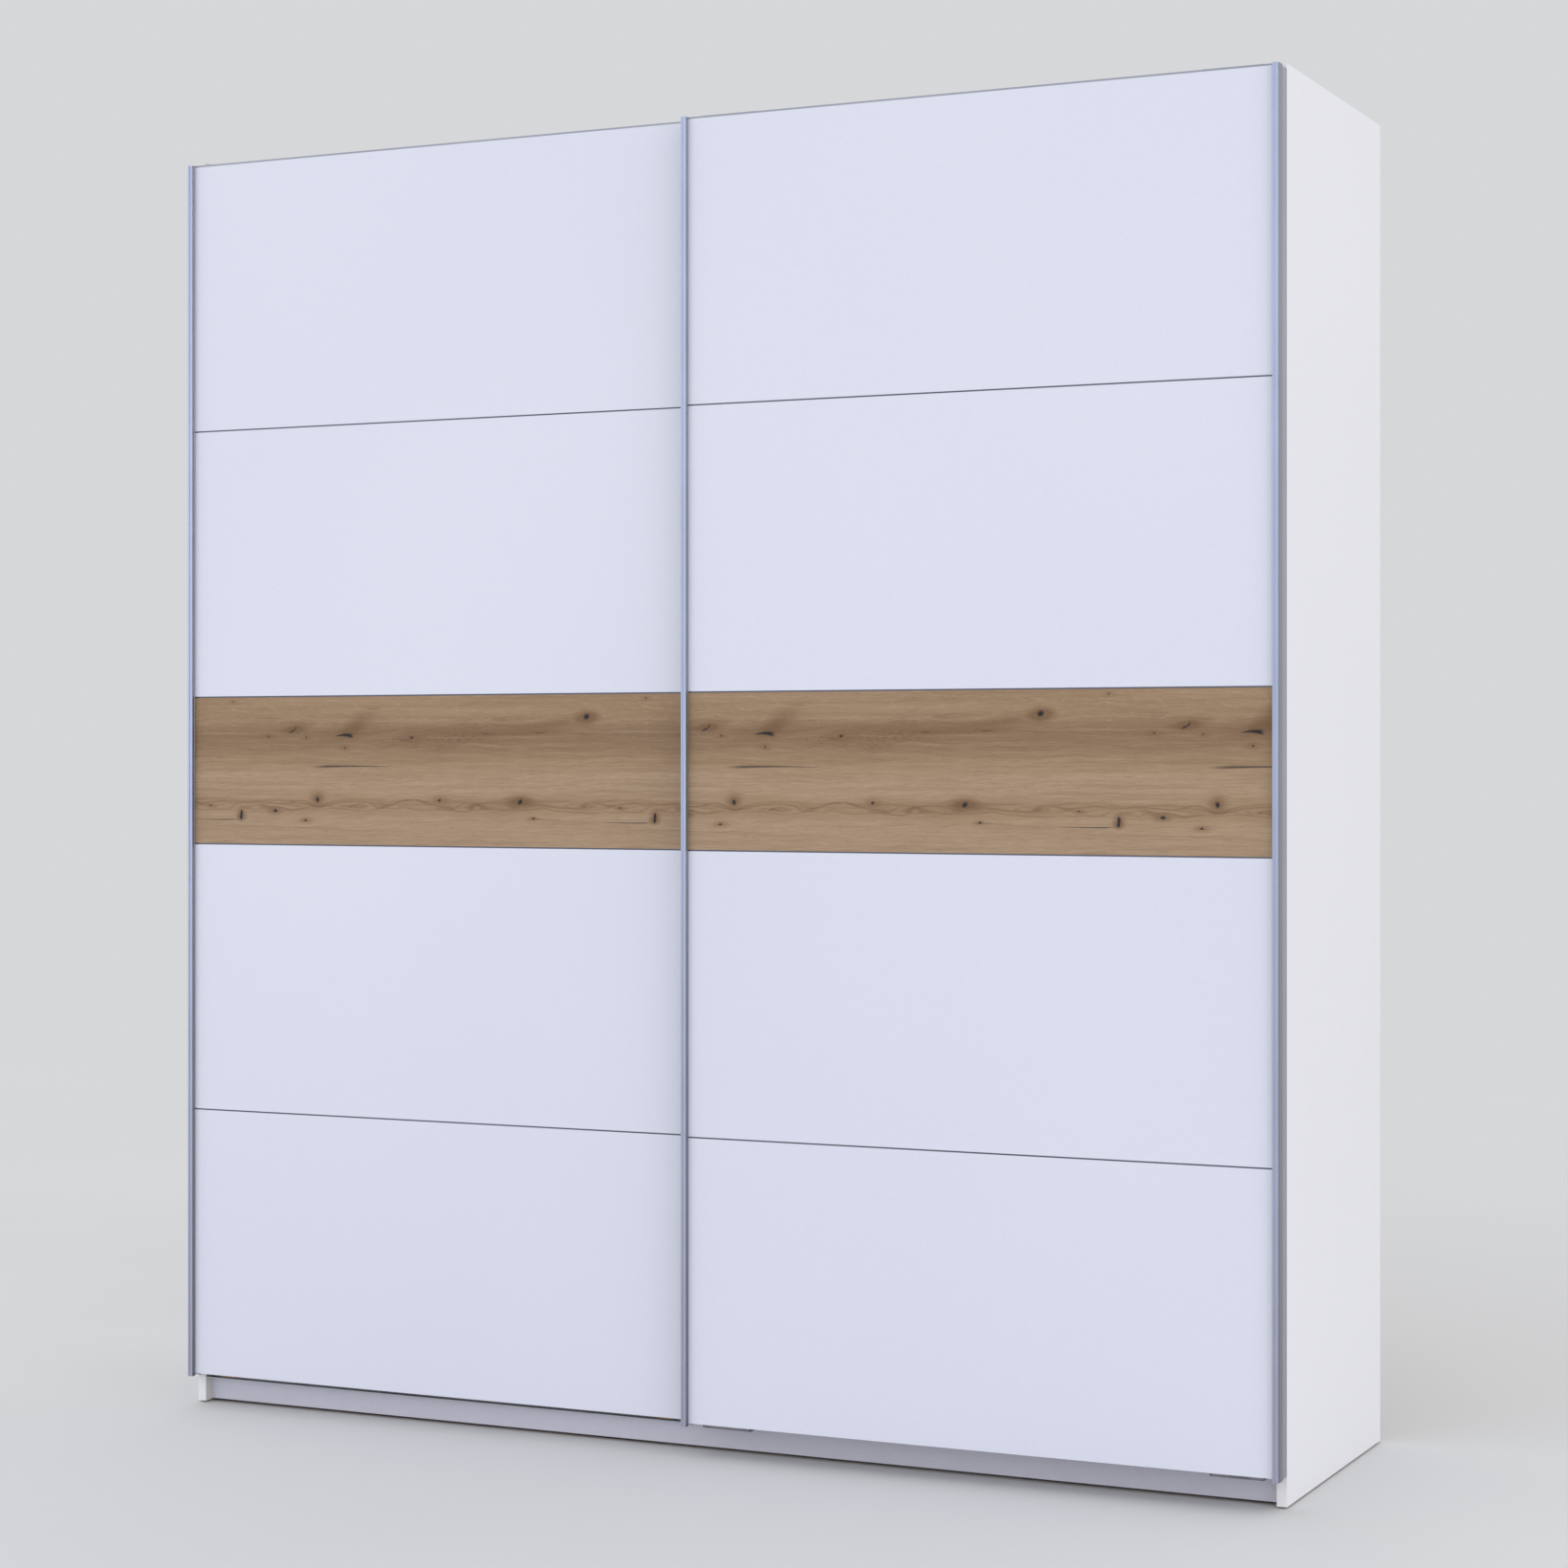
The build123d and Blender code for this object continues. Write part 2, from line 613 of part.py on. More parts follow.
def door(name, x_left, back, arm_under, plate_setback, guide_under):
    """One door with its panels, stiles, strips, carriages, rollers, guides and screws."""
    x_right = x_left + door_width
    panel_back = back - stile_wall
    panel_front = panel_back - panel
    edge = stile_wall + stile_panel_play
    x0, x1 = x_left + edge, x_right - edge
    fittings = (x_left + fitting_inset, x_right - fitting_inset)
    leg = panel_back + plate / 2
    carriage_middles = (fittings[0] + carriage_length / 2, fittings[1] - carriage_length / 2)
    guide_middles = (fittings[0] + guide_length / 2, fittings[1] - guide_length / 2)
    slot_z = door_top - carriage_leg / 2
    guide_screw_z = door_bottom + guide_leg - screw_end_distance

    def screw_row(middles, z):
        """The places of two screws for each fitting at one height."""
        half = screw_spacing / 2
        return [(middle + side * half, panel_back, z) for middle in middles for side in (-1, 1)]

    carriage_screws = screw_row(carriage_middles, slot_z)
    guide_screws = screw_row(guide_middles, guide_screw_z)

    # Panels between the cross strips, from the bottom up
    heights = (("bottom", white_panel_height), ("lower", white_panel_height), ("oak", oak_panel_height),
               ("upper", white_panel_height), ("top", white_panel_height))
    strips = []
    level = door_bottom
    for place, height in heights:
        sheet = block(x0, x1, panel_front, panel_back, level, level + height)
        for x, y, z in carriage_screws + guide_screws:
            if level < z < level + height:
                sheet -= rod((x, y, z), (0, -1, 0), screw_radius, screw_bite)
        save(f"{name}_panel_{place}", sheet)
        level += height
        if place == "top":
            break
        strip = rectangle(panel_front + cross_recess, panel_back, level, level + cross_web)
        middle = level + cross_web / 2
        flange = block(x_left + stile_flange, x_right - stile_flange, panel_back, panel_back + cross_flange,
                       middle - cross_flange_height / 2, middle + cross_flange_height / 2)
        strips.append(along_x(strip, x0, x1) + flange)
        level += cross_web
    strips.append(block(x0, x1, panel_front, panel_back, level, door_top))
    save(f"{name}_cross_strips", *strips)

    # Stiles, the right one a mirror image of the left
    bar = extrude(stile_profile(), amount=door_top - stile_bottom)
    save(f"{name}_stile_left", Pos(x_left, back, stile_bottom) * bar)
    save(f"{name}_stile_right", Pos(x_right, back, stile_bottom) * mirror(bar, Plane.YZ))

    # Carriages: a leg on the door, an arm over the top and a drop plate with two rollers
    plate_front = carcass_front + plate_setback
    drop = plate_front + plate / 2
    arm = arm_under + plate / 2
    leg_bottom = door_top - carriage_leg
    window = (drop - leg) * arm_window_share
    carriages = []
    axles = []
    for middle in carriage_middles:
        carriage = bent_fitting([(leg, leg_bottom), (leg, arm), (drop, arm), (drop, plate_bottom)],
                                carriage_length, middle)
        carriage = round_corners(round_corners(carriage, leg_bottom), plate_bottom)
        opening = extrude(SlotOverall(arm_window_length, window), amount=plate, both=True)
        carriage -= Pos(middle, (leg + drop) / 2, arm) * opening
        for x, y, z in screw_row((middle,), slot_z):
            carriage -= upright_slot(x, leg, z)
        for side in (-1, 1):
            x = middle + side * roller_spacing / 2
            carriage -= rod((x, plate_front, roller_axis), (0, 1, 0), axle_radius, plate)
            axles.append(axle(x, plate_front))
            roller_front = plate_front + plate + axle_shoulder + axle_side_play
            save(f"{name}_roller_{len(axles)}", roller(x, roller_front))
        carriages.append(carriage)
    save(f"{name}_carriages", *carriages)
    save(f"{name}_axles", *axles)

    # Guides: a leg on the door and an arm into the guide rail, with a slider behind the lip
    guides = []
    sliders = []
    guide_arm = guide_under + plate / 2
    leg_top = door_bottom + guide_leg
    arm_end = carcass_front + guide_arm_entry
    for middle in guide_middles:
        guide = bent_fitting([(leg, leg_top), (leg, guide_arm), (arm_end, guide_arm)],
                             guide_length, middle)
        guide = round_corners(guide, leg_top)
        for x, y, z in screw_row((middle,), guide_screw_z):
            guide -= upright_slot(x, leg, z)
        guides.append(guide)
        half = slider_length / 2
        slider_top = guide_under + plate + slot_play + rail_lip - slider_play
        slider = block(middle - half, middle + half, carcass_front + rail_wall + slider_play,
                       arm_end, guide_under + plate, slider_top)
        ends = slider.edges().filter_by(Axis.Z)
        sliders.append(fillet(ends, slider_edge))
        shoe_bottom = right_guide_under + plate + shoe_pass_gap
        if guide_under > shoe_bottom:
            shoe = block(middle - shoe_width / 2, middle + shoe_width / 2,
                         carcass_front - shoe_gap - shoe_depth, carcass_front - shoe_gap,
                         shoe_bottom, guide_under)
            sliders.append(shoe)
    save(f"{name}_guides", *guides)
    save(f"{name}_guide_sliders", *sliders)

    save(f"{name}_screws", *[screw((x, y + plate, z), (0, -1, 0), screw_bite, plate)
                             for x, y, z in carriage_screws + guide_screws])


os.makedirs("parts", exist_ok=True)
side_panels()
top_panel()
bottom_panel()
cam_fittings()
partition_and_plinths()
floor_glides()
back_sheets()
shelves_and_rails()
save("fixing_screws", *top_track(), *wall_brackets())
track_stops()
guide_rail()
gap_profile()
door("left_door", -door_outer, left_door_back, left_arm_under, rear_plate_setback, left_guide_under)
door("right_door", door_outer - door_width, right_door_back, right_arm_under, front_plate_setback,
     right_guide_under)
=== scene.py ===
import math

import bpy
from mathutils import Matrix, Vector


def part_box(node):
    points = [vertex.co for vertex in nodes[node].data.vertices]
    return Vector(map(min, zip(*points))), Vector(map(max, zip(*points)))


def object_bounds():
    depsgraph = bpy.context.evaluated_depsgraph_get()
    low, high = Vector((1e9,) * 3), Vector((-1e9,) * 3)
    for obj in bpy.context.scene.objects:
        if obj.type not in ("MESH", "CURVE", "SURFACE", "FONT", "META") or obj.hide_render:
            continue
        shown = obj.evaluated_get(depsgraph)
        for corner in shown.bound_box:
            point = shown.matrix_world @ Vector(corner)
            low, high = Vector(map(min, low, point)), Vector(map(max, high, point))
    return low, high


# Looks of the sliding door wardrobe: materials on the CAD nodes, soft arrises, light and camera.
# All places are in metres in the row frame: +X right, -Y front, +Z up.

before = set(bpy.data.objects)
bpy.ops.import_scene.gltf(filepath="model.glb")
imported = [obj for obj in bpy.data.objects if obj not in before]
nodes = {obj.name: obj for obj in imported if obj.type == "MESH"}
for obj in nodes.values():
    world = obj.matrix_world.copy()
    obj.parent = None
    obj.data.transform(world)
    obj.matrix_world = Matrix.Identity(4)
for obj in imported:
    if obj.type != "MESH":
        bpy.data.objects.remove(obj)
cad_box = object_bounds()

LEFT, RIGHT = (-1.0, 0.0, 0.0), (1.0, 0.0, 0.0)
FRONT, REAR = (0.0, -1.0, 0.0), (0.0, 1.0, 0.0)
DOWN, UP = (0.0, 0.0, -1.0), (0.0, 0.0, 1.0)

# Where most values of a noise lie, and a narrower stretch for a sharper change
MOST = (0.3, 0.7)
MIDDLE = (0.35, 0.65)


def srgb(red, green, blue):
    """A colour given as 8-bit display values, in the linear values that a shader takes."""
    def linear(value):
        value /= 255
        return value / 12.92 if value <= 0.04045 else ((value + 0.055) / 1.055) ** 2.4
    return (linear(red), linear(green), linear(blue), 1.0)


class Shader:
    """A node material that is built up by short calls. Patterns lie in the piece's own coordinates."""

    def __init__(self, name, roughness=0.5, metallic=0.0, specular=0.5):
        self.material = bpy.data.materials.new(name)
        self.material.use_nodes = True
        self.tree = self.material.node_tree
        self.surface = self.tree.nodes["Principled BSDF"]
        self.surface.inputs["Roughness"].default_value = roughness
        self.surface.inputs["Metallic"].default_value = metallic
        self.surface.inputs["Specular IOR Level"].default_value = specular
        coordinates = self.tree.nodes.new("ShaderNodeTexCoord")
        self.place = coordinates.outputs["Object"]
        self.facing = coordinates.outputs["Normal"]

    def put(self, socket, value):
        if isinstance(value, bpy.types.NodeSocket):
            self.tree.links.new(value, socket)
        elif value is not None:
            socket.default_value = value

    def node(self, kind, values=(), **settings):
        made = self.tree.nodes.new(kind)
        for key, value in settings.items():
            setattr(made, key, value)
        for index, value in enumerate(values):
            self.put(made.inputs[index], value)
        return made

    def math(self, operation, *values):
        return self.node("ShaderNodeMath", values, operation=operation).outputs[0]

    def vector(self, operation, *values):
        made = self.node("ShaderNodeVectorMath", values, operation=operation)
        return made.outputs["Value" if operation in ("LENGTH", "DOT_PRODUCT") else "Vector"]

    def split(self, vector):
        return self.node("ShaderNodeSeparateXYZ", (vector,)).outputs

    def join(self, x, y, z):
        return self.node("ShaderNodeCombineXYZ", (x, y, z)).outputs[0]

    def scaled(self, factors, vector=None):
        return self.vector("MULTIPLY", self.place if vector is None else vector, factors)

    def noise(self, vector, scale=1.0, detail=2.0, rough=0.5, distortion=0.0, output="Fac"):
        made = self.node("ShaderNodeTexNoise")
        self.put(made.inputs["Vector"], vector)
        made.inputs["Scale"].default_value = scale
        made.inputs["Detail"].default_value = detail
        made.inputs["Roughness"].default_value = rough
        made.inputs["Distortion"].default_value = distortion
        return made.outputs[output]

    def cells(self, vector, scale=1.0):
        """One random value for each cell."""
        made = self.node("ShaderNodeTexVoronoi")
        self.put(made.inputs["Vector"], vector)
        made.inputs["Scale"].default_value = scale
        return self.split(made.outputs["Color"])[0]

    def span(self, value, low, high, to_low=0.0, to_high=1.0):
        """An eased change from to_low to to_high while the value goes from low to high."""
        made = self.node("ShaderNodeMapRange", (value, low, high, to_low, to_high), clamp=False)
        made.interpolation_type = "SMOOTHSTEP"
        return made.outputs[0]

    def fade(self, value, start, end, strength=1.0):
        """A strength that eases to nothing while the value goes from start to end."""
        return self.span(value, start, end, to_low=strength, to_high=0.0)

    def weigh(self, first, second, share):
        """Two values mixed by weight: the share is the first one's."""
        return self.math("ADD", self.math("MULTIPLY", first, share),
                         self.math("MULTIPLY", second, 1 - share))

    def towards(self, direction, low, high):
        """1 on faces that look in a direction. Low and high are cosines of the angle to it."""
        return self.span(self.vector("DOT_PRODUCT", self.facing, direction), low, high)

    def ramp(self, value, stops):
        made = self.node("ShaderNodeValToRGB", (value,))
        line = made.color_ramp
        while len(line.elements) < len(stops):
            line.elements.new(0.5)
        for element, (position, colour) in zip(line.elements, stops):
            element.position = position
            element.color = colour
        return made.outputs["Color"]

    def mix(self, share, first, second):
        made = self.node("ShaderNodeMix", data_type="RGBA")
        for index, value in ((0, share), (6, first), (7, second)):
            self.put(made.inputs[index], value)
        return made.outputs[2]

    def bump(self, height, distance, strength):
        made = self.node("ShaderNodeBump")
        made.inputs["Strength"].default_value = strength
        made.inputs["Distance"].default_value = distance
        self.put(made.inputs["Height"], height)
        return made.outputs[0]

    def finish(self, colour, roughness=None, normal=None):
        self.put(self.surface.inputs["Base Color"], colour)
        self.put(self.surface.inputs["Roughness"], roughness)
        self.put(self.surface.inputs["Normal"], normal)
        return self.material


# Boards

BOARD_TONE = (srgb(234, 234, 239), srgb(230, 230, 235))
# Painted shade: the plinth's white is the boards' white made darker and cooler, standing in for the shade
# under the doors
PLINTH_PAINTED_SHADE_TONE = (srgb(205, 205, 219), srgb(199, 199, 213))
# Cosines between which a face starts to count as turned to a side, for decor and for raw edges
FACE = (0.5, 0.6)
EDGE = (0.7, 0.8)


def melamine(name, tone, shade, roughness):
    """A melamine face: almost even, with a slow drift of tone and a fine pearl grain."""
    made = Shader(name)
    drift = made.noise(made.place, scale=1.3, detail=1.0)
    speck = made.noise(made.place, scale=420.0)
    colour = made.mix(made.span(made.weigh(drift, speck, share=0.35), *MIDDLE), shade, tone)
    cloud = made.noise(made.place, scale=38.0, detail=4.0)
    gloss = made.span(cloud, *MOST, to_low=roughness - 0.04, to_high=roughness + 0.04)
    pearl = made.noise(made.place, scale=700.0)
    return made, colour, gloss, made.bump(pearl, distance=0.00012, strength=0.35)


def door_white():
    made, colour, gloss, normal = melamine(
        "door_white_melamine", srgb(221, 224, 239), srgb(217, 220, 236), roughness=0.42)
    return made.finish(colour, gloss, normal)


def linen(made, shade, tone):
    """A printed linen decor of crossed threads."""
    fine, long = 900.0, 60.0
    across = made.noise(made.scaled((fine, fine, long)))
    along = made.noise(made.scaled((long, long, fine)))
    return made.mix(made.weigh(across, along, share=0.5), shade, tone)


def chipboard(made):
    """The raw core that shows on edges without a band: flakes of several browns."""
    flakes = made.cells(made.scaled((240.0, 240.0, 520.0)))
    return made.ramp(flakes, [(0.0, srgb(112, 84, 56)), (0.35, srgb(150, 118, 82)),
                              (0.7, srgb(181, 150, 110)), (1.0, srgb(205, 178, 138))])


def carcass_board(name, raw_faces, inner_side=None, tone=BOARD_TONE):
    """A carcass board: white outside, linen decor inside, raw core on the faces without a band."""
    made, colour, gloss, normal = melamine(name, *tone, roughness=0.46)
    if inner_side is not None:
        threads = linen(made, srgb(203, 200, 193), srgb(226, 224, 218))
        colour = made.mix(made.towards(inner_side, *FACE), colour, threads)
    for direction in raw_faces:
        colour = made.mix(made.towards(direction, *EDGE), colour, chipboard(made))
    return made.finish(colour, gloss, normal)


def interior_board():
    """A board inside the carcass, with linen decor on the faces and a plain band in front."""
    made, band, gloss, normal = melamine(
        "interior_linen_board", srgb(226, 224, 218), srgb(222, 220, 214), roughness=0.5)
    threads = linen(made, srgb(203, 200, 193), srgb(228, 226, 220))
    colour = made.mix(made.towards(FRONT, *FACE), threads, band)
    colour = made.mix(made.towards(REAR, *EDGE), colour, chipboard(made))
    return made.finish(colour, gloss, normal)


def hardboard():
    """The back: lacquered towards the inside, raw brown fibre behind."""
    made = Shader("back_hardboard", roughness=0.6)
    threads = linen(made, srgb(206, 203, 196), srgb(226, 224, 218))
    fibre = made.noise(made.scaled((520.0, 520.0, 420.0)), detail=4.0, rough=0.7)
    patch = made.noise(made.place, scale=6.0, detail=4.0)
    brown = made.mix(made.weigh(fibre, patch, share=0.5), srgb(112, 84, 60), srgb(150, 118, 86))
    colour = made.mix(made.towards(REAR, low=0.4, high=0.6), threads, brown)
    return made.finish(colour, normal=made.bump(fibre, distance=0.0003, strength=0.4))


# The oak decor is a print that repeats along the door. Its lengths are in millimetres, and its marks are
# placed along the repeat and up from the lower edge of the band.

# In a metre
MILLIMETRES = 1000.0
oak_low, oak_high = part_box("left_door_panel_oak")
OAK_BASE = oak_low.z * MILLIMETRES
OAK_HEIGHT = (oak_high.z - oak_low.z) * MILLIMETRES
OAK_REPEAT = 818.0
OAK_RING = OAK_REPEAT / (2 * math.pi)

# The three tones of its bands, and where they lie as shares of its height
OAK_PALE = srgb(170, 144, 118)
OAK_WARM = srgb(158, 130, 102)
OAK_DARK = srgb(140, 113, 87)
OAK_BANDS = ((0.0, OAK_PALE), (0.17, OAK_PALE), (0.27, OAK_WARM), (0.345, OAK_PALE), (0.45, OAK_PALE),
             (0.56, OAK_WARM), (0.7, OAK_DARK), (0.78, OAK_DARK), (0.86, OAK_WARM))

# Knots: along, up, half length, half height, tilt in degrees, depth of the tone, size of the halo
OAK_KNOTS = (
    (214, 197, 6.5, 1.6, 24, 0.85, 4.0), (221, 202, 3.2, 1.5, 60, 0.8, 4.0),
    (165, 188, 2.8, 1.6, 0, 0.7, 4.0), (243, 186, 2.4, 1.6, 10, 0.65, 4.0),
    (322, 168, 2.0, 2.0, 0, 0.7, 3.0), (457, 185, 4.0, 2.3, 8, 0.8, 4.5),
    (797, 219, 5.4, 4.6, 20, 1.0, 3.2), (604, 191, 9.0, 0.8, 3, 0.5, 6.0),
    (708, 192, 10.0, 0.9, 2, 0.55, 6.0), (266, 78, 3.4, 4.6, 10, 0.95, 3.0),
    (108, 53, 2.6, 6.0, 0, 1.0, 2.2), (107, 46, 2.4, 3.4, 0, 1.0, 2.2),
    (179, 58, 4.0, 2.6, -6, 0.95, 3.0), (241, 42, 3.0, 1.9, 0, 0.8, 3.0),
    (512, 78, 3.4, 2.2, 0, 0.85, 3.6), (670, 76, 5.6, 3.4, 42, 0.95, 4.0),
    (696, 48, 2.6, 1.9, 0, 0.8, 2.6), (42, 67, 2.4, 1.5, 0, 0.7, 3.0),
    (91, 249, 2.4, 1.6, 0, 0.6, 3.0), (332, 66, 5.0, 1.3, 4, 0.35, 5.0),
)
# Cracks: left end, right end, up, half thickness at the left, at the right, bow, depth of the tone
OAK_CRACKS = (
    (299, 342, 190, 0.4, 3.4, 3.4, 1.0), (246, 432, 136, 1.9, 0.3, 1.6, 0.75),
    (2, 106, 42, 0.35, 1.0, -0.6, 0.7), (230, 266, 41, 0.35, 0.35, 0.0, 0.5),
    (680, 720, 47, 0.35, 0.35, 0.0, 0.5),
)
# Brown smears: along, up, half length, half height, tilt in degrees, depth of the tone
OAK_SMEARS = (
    (350, 211, 46, 17, 32, 0.50), (332, 197, 30, 11, 14, 0.3), (725, 207, 95, 10, 8, 0.50),
    (225, 204, 40, 12, 8, 0.40), (320, 190, 60, 12, 4, 0.36), (672, 74, 60, 12, 0, 0.38),
    (266, 82, 22, 16, 0, 0.26), (800, 214, 24, 12, 10, 0.40), (540, 187, 110, 14, 3, 0.22),
)
# Eyes of the grain: along, up, half length, half height
OAK_EYES = ((586, 66, 84, 11), (352, 67, 70, 8), (800, 69, 52, 7), (140, 64, 110, 10))
EYE_RINGS = 9.0
# Seams: up, how far they wander, seed, half thickness, depth of the tone
OAK_SEAMS = (
    (70, 40, 3.0, 2.8, 0.44), (64, 34, 9.0, 2.2, 0.38), (75, 30, 15.0, 4.0, 0.26),
    (194, 34, 21.0, 3.4, 0.24), (170, 34, 27.0, 2.8, 0.18),
)
# Arched grain in the upper dark band: along, up, slope of its axis, how fast the arches close, spacing
OAK_ARCH = (470.0, 181.0, 0.03, 0.22, 22.0)
# Where the arches come in and fade out, counted from the first arch, and where they end along the grain
ARCH_START, ARCH_END, ARCH_REACH = (-20.0, 20.0), (110.0, 300.0), (180.0, 380.0)
# Heights over which the pale flecks come in, thin out and come in again, from below
FLECKS_IN, FLECKS_THIN, FLECKS_AGAIN = (84.0, 96.0), (120.0, 150.0), (196.0, 214.0)

# How far slow noises move the marks, the grain, the bands and the arches
MARK_SHAKE = (3.6, 3.0, 0.0)
CRACK_SHAKE = 0.3
GRAIN_WAVE = 9.0
BAND_SWAY = 34.0
ARCH_SWAY, ARCH_WOBBLE = 12.0, 110.0

# Tones that are drawn over the bands
ARCH_TONE = srgb(108, 80, 54)
SEAM_TONE = srgb(112, 84, 58)
STREAK_DARK, STREAK_PALE = srgb(122, 95, 68), srgb(186, 164, 138)
FIBRE_DARK, FIBRE_PALE = srgb(118, 92, 66), srgb(196, 175, 149)
PORE_TONE = srgb(96, 72, 50)
FLECK_TONE = srgb(190, 167, 139)
HALO_TONE = srgb(112, 82, 53)
MARK_TONE = srgb(30, 29, 33)

# Strongest tone of the seams, of the halos and of open pores
SEAM_LIMIT, HALO_LIMIT, PORE_DEPTH = 0.6, 0.75, 0.32
# A knot's halo: how much longer it is along the grain, and its share of the knot's tone
HALO_TAIL, HALO_SHARE = 6.0, 0.6
# Where halos and smears have faded out, as a multiple of their half size
SOFT_RIM = 1.4
UP_THE_BAND = (0.0, 1.0, 0.0)


class Oak(Shader):
    """Oak decor: grain along X that bends around knots and eyes, arched rings, pores and cracks."""

    def __init__(self, name, shift):
        super().__init__(name, specular=0.35)
        x, _, z = self.split(self.place)
        self.along = self.math("ADD", self.math("MULTIPLY", x, MILLIMETRES), shift)
        self.up = self.math("SUBTRACT", self.math("MULTIPLY", z, MILLIMETRES), OAK_BASE)
        self.place_marks()
        dark, halo, bend = self.split(self.marks)

        # A ring around the repeat makes every noise close on itself
        angle = self.math("MULTIPLY", self.along, 2 * math.pi / OAK_REPEAT)
        self.round_x = self.math("MULTIPLY", self.math("COSINE", angle), OAK_RING)
        self.round_y = self.math("MULTIPLY", self.math("SINE", angle), OAK_RING)
        self.plain = self.join(self.round_x, self.round_y, self.up)
        wave = self.centred(self.grain_noise(self.plain, along=0.014, across=0.04))
        self.bent = self.math("ADD", self.math("SUBTRACT", self.up, bend),
                              self.math("MULTIPLY", wave, GRAIN_WAVE))

        self.draw_bands(bend)
        self.draw_arches()
        self.draw_seams()
        self.draw_grain()
        pores = self.draw_pores()
        self.tint(self.math("MINIMUM", halo, HALO_LIMIT), HALO_TONE)
        self.tint(self.math("MINIMUM", dark, 1.0), MARK_TONE)

        # The relief doesn't hang on the marks, because the renderer's stack has no room for them twice
        fine = self.grain_noise(self.plain, along=0.012, across=1.0, detail=3.0, rough=0.65)
        relief = self.math("SUBTRACT", self.math("MULTIPLY", fine, 0.4), self.math("MULTIPLY", pores, 0.5))
        gloss = self.span(fine, *MOST, to_low=0.56, to_high=0.48)
        self.finish(self.colour, gloss, self.bump(relief, distance=0.0002, strength=0.6))

    def centred(self, value):
        return self.math("SUBTRACT", value, 0.5)

    def grain_noise(self, where, along, across, detail=2.0, rough=0.5):
        return self.noise(self.scaled((along, along, across), where), detail=detail, rough=rough)

    def tint(self, share, tone):
        self.colour = self.mix(share, self.colour, tone)

    def from_mark(self, mark_along, mark_up, here):
        """The way from the nearest repeat of a mark to a place."""
        half = OAK_REPEAT / 2
        return self.vector("WRAP", self.vector("SUBTRACT", here, (mark_along, mark_up, 0.0)),
                           (half, half, half), (-half, -half, -half))

    def reach(self, away, length, height, tilt):
        """The distance from the middle of a tilted ellipse: 1 on its rim, less inside."""
        turn = math.radians(tilt)
        run = self.vector("DOT_PRODUCT", away, (math.cos(turn) / length, math.sin(turn) / length, 0.0))
        rise = self.vector("DOT_PRODUCT", away, (-math.sin(turn) / height, math.cos(turn) / height, 0.0))
        return self.vector("LENGTH", self.join(run, rise, 0.0))

    def pull(self, away, wide, end, strength):
        """How far a mark pushes the grain apart."""
        return self.math("MULTIPLY", self.vector("DOT_PRODUCT", away, UP_THE_BAND),
                         self.fade(wide, 0.0, end, strength))

    def add_mark(self, tone, halo, bend):
        """The tone, the brown halo and the bend of all marks are kept together as one vector."""
        self.marks = self.vector("ADD", self.marks, self.join(tone, halo, bend))

    def place_marks(self):
        spot = self.join(self.along, self.up, 0.0)
        ragged = self.noise(spot, scale=0.3, detail=3.0, output="Color")
        shake = self.vector("MULTIPLY", self.vector("SUBTRACT", ragged, (0.5, 0.5, 0.5)), MARK_SHAKE)
        self.shaken = self.vector("ADD", spot, shake)
        # Cracks are less ragged, so their places weigh the plain spot more than the shaken one
        whole = 1 + CRACK_SHAKE
        eased = self.vector("MULTIPLY", self.shaken, (CRACK_SHAKE, CRACK_SHAKE, 0.0))
        eased = self.vector("ADD", spot, eased)
        eased = self.vector("MULTIPLY", eased, (1 / whole, 1 / whole, 0.0))
        self.marks = (0.0, 0.0, 0.0)
        for knot in OAK_KNOTS:
            self.add_knot(*knot)
        for crack in OAK_CRACKS:
            self.add_crack(eased, *crack)
        for smear in OAK_SMEARS:
            self.add_smear(*smear)
        for eye in OAK_EYES:
            self.add_eye(*eye)

    def add_knot(self, mark_along, mark_up, length, height, tilt, depth, halo_size):
        away = self.from_mark(mark_along, mark_up, self.shaken)
        spread = self.reach(away, length, height, tilt)
        halo_length = halo_size * length + HALO_TAIL
        halo_height = halo_size * height
        wide = self.vector("LENGTH", self.scaled((1 / halo_length, 1 / halo_height, 0.0), away))
        bend = self.pull(away, wide, end=2.0, strength=0.7)
        tone = self.fade(spread, 0.4, 1.5, strength=depth)
        self.add_mark(tone, self.fade(wide, 0.0, SOFT_RIM, strength=HALO_SHARE * depth), bend)

    def add_crack(self, here, start, end, mark_up, thick_left, thick_right, bow, depth):
        away = self.from_mark((start + end) / 2, mark_up, here)
        share = self.vector("DOT_PRODUCT", away, (2 / (end - start), 0.0, 0.0))
        curve = self.math("MULTIPLY", self.math("MULTIPLY", share, share), bow)
        off = self.math("ABSOLUTE", self.math("ADD", self.vector("DOT_PRODUCT", away, UP_THE_BAND), curve))
        thick = self.span(share, -1.0, 1.0, thick_left, thick_right)
        line = self.fade(self.math("DIVIDE", off, thick), 0.3, 1.9, strength=depth)
        ends = self.fade(self.math("ABSOLUTE", share), 0.55, 1.0)
        self.add_mark(self.math("MULTIPLY", line, ends), 0.0, 0.0)

    def add_smear(self, mark_along, mark_up, length, height, tilt, depth):
        wide = self.reach(self.from_mark(mark_along, mark_up, self.shaken), length, height, tilt)
        self.add_mark(0.0, self.fade(wide, 0.0, SOFT_RIM, strength=depth), 0.0)

